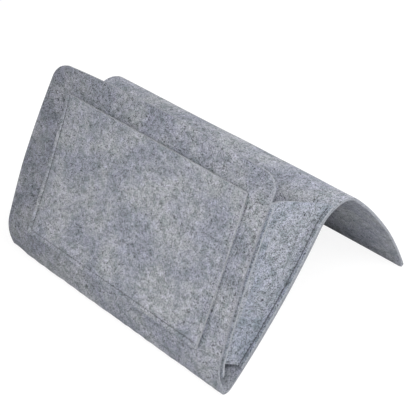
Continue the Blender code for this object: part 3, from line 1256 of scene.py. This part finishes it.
for side, word in ((1, "right"), (-1, "left")):
    front_leg = [margin_leg(front_edge, side, front_seam_low, front_seam_high)]
    back_leg = [margin_leg(back_edge, side, back_seam_low, back_seam_high)]
    sew(f"{word}_front_needle_stitches", front_leg, front_place, -sunk_face, -1, "front",
        f"{word}_front_seam_needle_thread")
    sew(f"{word}_front_bobbin_stitches", front_leg, front_place, far_face, 1, "front",
        f"{word}_front_seam_bobbin_thread")
    sew(f"{word}_back_needle_stitches", back_leg, back_place, far_face, 1, "back",
        f"{word}_back_seam_needle_thread")
    sew(f"{word}_back_bobbin_stitches", back_leg, back_place, -near_face, -1, "back",
        f"{word}_back_seam_bobbin_thread")

# %% [markdown]
# ## Table
#
# The photo was taken on a white sweep. Stronger lamps could make a table white too, but they would
# bleach the felt. So the table is white to the camera mostly by its own glow, and only the softest
# shadow is left on it. To all other light it is a plain white table, which throws its light back
# up on to the felt.

# %% Table
table_size = 8.0
table_white = (0.84, 0.84, 0.84, 1.0)
table_seen = (0.20, 0.20, 0.20, 1.0)
table_glow = 0.88
clear_selection()
bpy.ops.mesh.primitive_plane_add(size=table_size, location=(0.0, 0.0, 0.0))
table = bpy.context.active_object
table.name = "table"
material = bpy.data.materials.new("table_top")
material.use_nodes = True
tree = material.node_tree
tree.nodes.remove(tree.nodes["Principled BSDF"])
path = tree.nodes.new("ShaderNodeLightPath")
white = tree.nodes.new("ShaderNodeBsdfDiffuse")
white.inputs["Color"].default_value = table_white
dim = tree.nodes.new("ShaderNodeBsdfDiffuse")
dim.inputs["Color"].default_value = table_seen
glow = tree.nodes.new("ShaderNodeEmission")
glow.inputs["Strength"].default_value = table_glow
seen = tree.nodes.new("ShaderNodeAddShader")
link(tree, dim.outputs[0], seen.inputs[0])
link(tree, glow.outputs[0], seen.inputs[1])
choice = tree.nodes.new("ShaderNodeMixShader")
link(tree, path.outputs["Is Camera Ray"], choice.inputs["Fac"])
link(tree, white.outputs[0], choice.inputs[1])
link(tree, seen.outputs[0], choice.inputs[2])
link(tree, choice.outputs[0], tree.nodes["Material Output"].inputs["Surface"])
table.data.materials.append(material)
print("table", table_size, "m wide")

# %% [markdown]
# ## Light
#
# The light in the photo is soft and comes from all round. Small lamps would draw hard shadows, so
# five large square ones stand round the caddy: near the camera, at the right, at the left in front,
# behind, and low at the right. The room adds a little from everywhere, and is white only where the
# camera sees it.

# %% Light
room_light = 0.10
world = bpy.data.worlds.new("studio")
bpy.context.scene.world = world
world.use_nodes = True
tree = world.node_tree
background = tree.nodes["Background"]
background.inputs["Color"].default_value = (1.0, 1.0, 1.0, 1.0)
path = tree.nodes.new("ShaderNodeLightPath")
level = tree.nodes.new("ShaderNodeMapRange")
level.inputs["To Min"].default_value = room_light
level.inputs["To Max"].default_value = 1.0
link(tree, path.outputs["Is Camera Ray"], level.inputs["Value"])
link(tree, level.outputs["Result"], background.inputs["Strength"])


def soft_box(name, location, target, size, power):
    """A square lamp of a size in metres and a power in watts, turned to its target."""
    light = bpy.data.lights.new(name, "AREA")
    light.shape = "SQUARE"
    light.size = size
    light.energy = power
    lamp = bpy.data.objects.new(name, light)
    bpy.context.scene.collection.objects.link(lamp)
    lamp.location = location
    lamp.rotation_euler = (Vector(target) - Vector(location)).to_track_quat("-Z", "Y").to_euler()


aimed_at = (0.0, 0.0, 0.08)
soft_box("key_from_camera", (0.9, -1.1, 1.5), aimed_at, 1.2, 11.5)
soft_box("light_from_right", (0.7, -0.1, 0.9), aimed_at, 0.6, 6.2)
soft_box("light_from_left_front", (-0.4, -1.4, 0.7), aimed_at, 0.8, 7.0)
soft_box("light_from_behind", (0.2, 1.2, 1.3), aimed_at, 1.0, 16.0)
soft_box("low_light", (1.2, 0.5, 0.25), aimed_at, 0.6, 3.4)
print(len(bpy.data.lights), "lamps")

# %% [markdown]
# ## Camera
#
# The camera stands where the corners and edges of the folded strip fall on those in the photo. It
# looks at a point in the middle of the tent from a turn, a height and a distance, slides a little
# to the right and up without turning, and rolls by less than a degree.

# %% Camera
focal_pixels = 988.415
picture_pixels = 416.0
sensor_width = 36.0
distance = 1.05
slide_right, slide_up = 0.027853, 0.010793
turn, height, roll = (math.radians(value) for value in (43.265, 37.174, 0.647))
towards = Vector((math.sin(turn) * math.cos(height), -math.cos(turn) * math.cos(height), math.sin(height)))
level_right = (-towards).cross(Vector((0.0, 0.0, 1.0))).normalized()
level_up = level_right.cross(-towards)
camera_right = math.cos(roll) * level_right + math.sin(roll) * level_up
camera_up = -math.sin(roll) * level_right + math.cos(roll) * level_up
looked_at = Vector((0.0, 0.1 + fold_axis_y, 0.07))
camera_data = bpy.data.cameras.new("camera")
camera = bpy.data.objects.new("camera", camera_data)
bpy.context.scene.collection.objects.link(camera)
camera_data.sensor_width = sensor_width
camera_data.lens = focal_pixels / picture_pixels * sensor_width
place = looked_at + towards * distance + camera_right * slide_right + camera_up * slide_up
camera.matrix_world = Matrix((
    (camera_right.x, camera_up.x, towards.x, place.x),
    (camera_right.y, camera_up.y, towards.y, place.y),
    (camera_right.z, camera_up.z, towards.z, place.z),
    (0.0, 0.0, 0.0, 1.0),
))
bpy.context.scene.camera = camera
bpy.context.scene.view_settings.view_transform = "Standard"
print("lens", round(camera_data.lens, 1), "mm")
